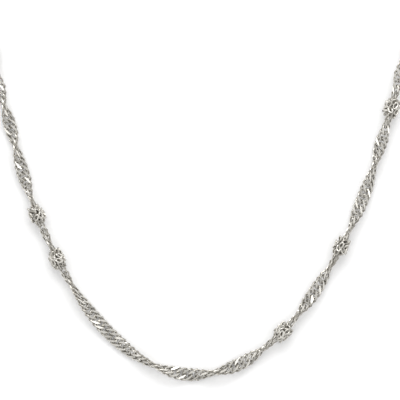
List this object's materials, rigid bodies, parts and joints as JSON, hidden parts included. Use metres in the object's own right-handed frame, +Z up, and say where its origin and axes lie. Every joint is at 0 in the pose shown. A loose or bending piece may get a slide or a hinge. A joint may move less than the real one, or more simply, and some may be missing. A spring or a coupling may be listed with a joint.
{
  "type": "singapore chain necklace",
  "caption": "Fine twisted curb-link neck chain with small knot stations and a round clasp, laid out in its closed wearing loop.",
  "frame": {"origin": "centre of the loop's box, on the surface that the necklace lies on", "axes": "+Z up from that surface; +Y towards the clasp at the nape, so the front of the necklace is at -Y; +X to the right in the picture"},
  "size_m": [0.1032, 0.1847, 0.0033],
  "materials": {
    "silver": "polished silver"
  },
  "bodies": {
    "root": {"chain": "silver", "ring_left": "silver", "ring_right": "silver", "clasp": "silver", "knot_01": "silver", "knot_02": "silver", "knot_03": "silver", "knot_04": "silver", "knot_05": "silver", "knot_06": "silver", "knot_07": "silver", "knot_08": "silver", "knot_09": "silver", "knot_10": "silver", "knot_11": "silver", "knot_12": "silver", "knot_13": "silver", "knot_14": "silver"}
  },
  "joints": []
}
